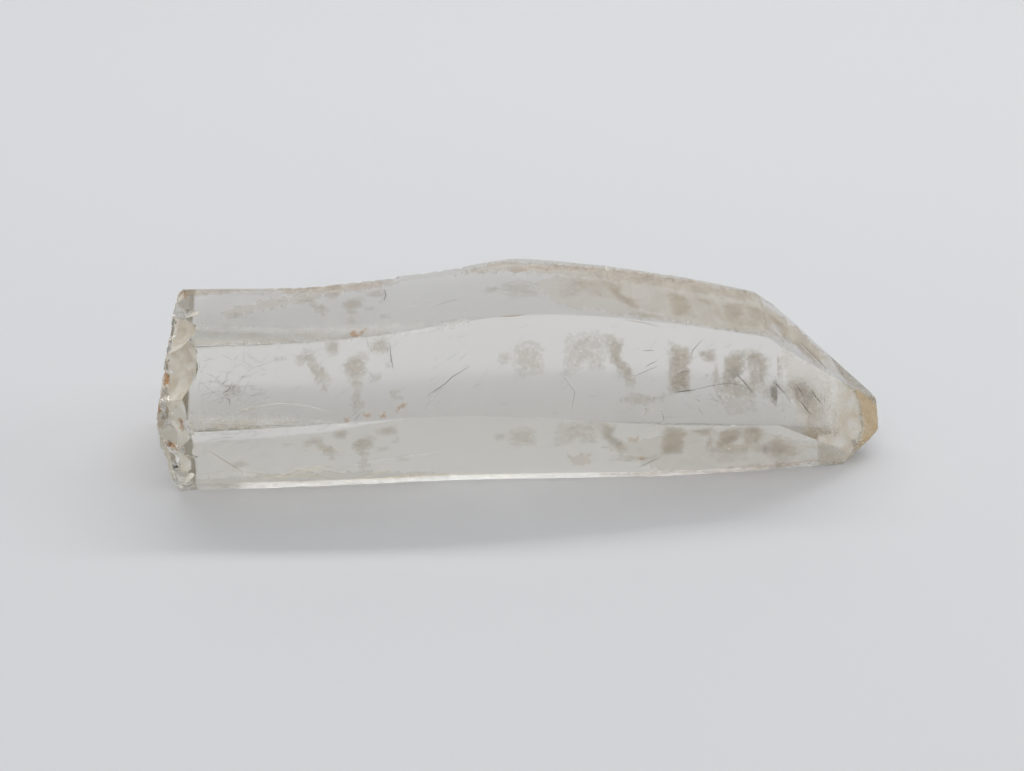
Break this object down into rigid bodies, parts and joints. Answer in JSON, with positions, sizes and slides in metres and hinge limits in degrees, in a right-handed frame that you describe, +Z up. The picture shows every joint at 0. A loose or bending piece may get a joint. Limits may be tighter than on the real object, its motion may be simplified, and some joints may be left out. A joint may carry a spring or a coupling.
{
  "type": "quartz crystal specimen",
  "caption": "Clear six-sided quartz crystal lying on a prism face, with an iron-stained chipped point at one end and a ragged broken root at the other.",
  "frame": {"origin": "middle of the bounding box, on the level prism face that the crystal lies on", "axes": "+X along the crystal's long axis towards its point, +Y from the front faces to the back faces, +Z up"},
  "size_m": [0.0748, 0.0254, 0.019],
  "materials": {
    "clear_quartz": "clear, glossy prism faces; frosted and iron-stained at the point; shell-shaped glossy break at the root"
  },
  "bodies": {
    "root": {"quartz_crystal": "clear_quartz"}
  },
  "joints": []
}
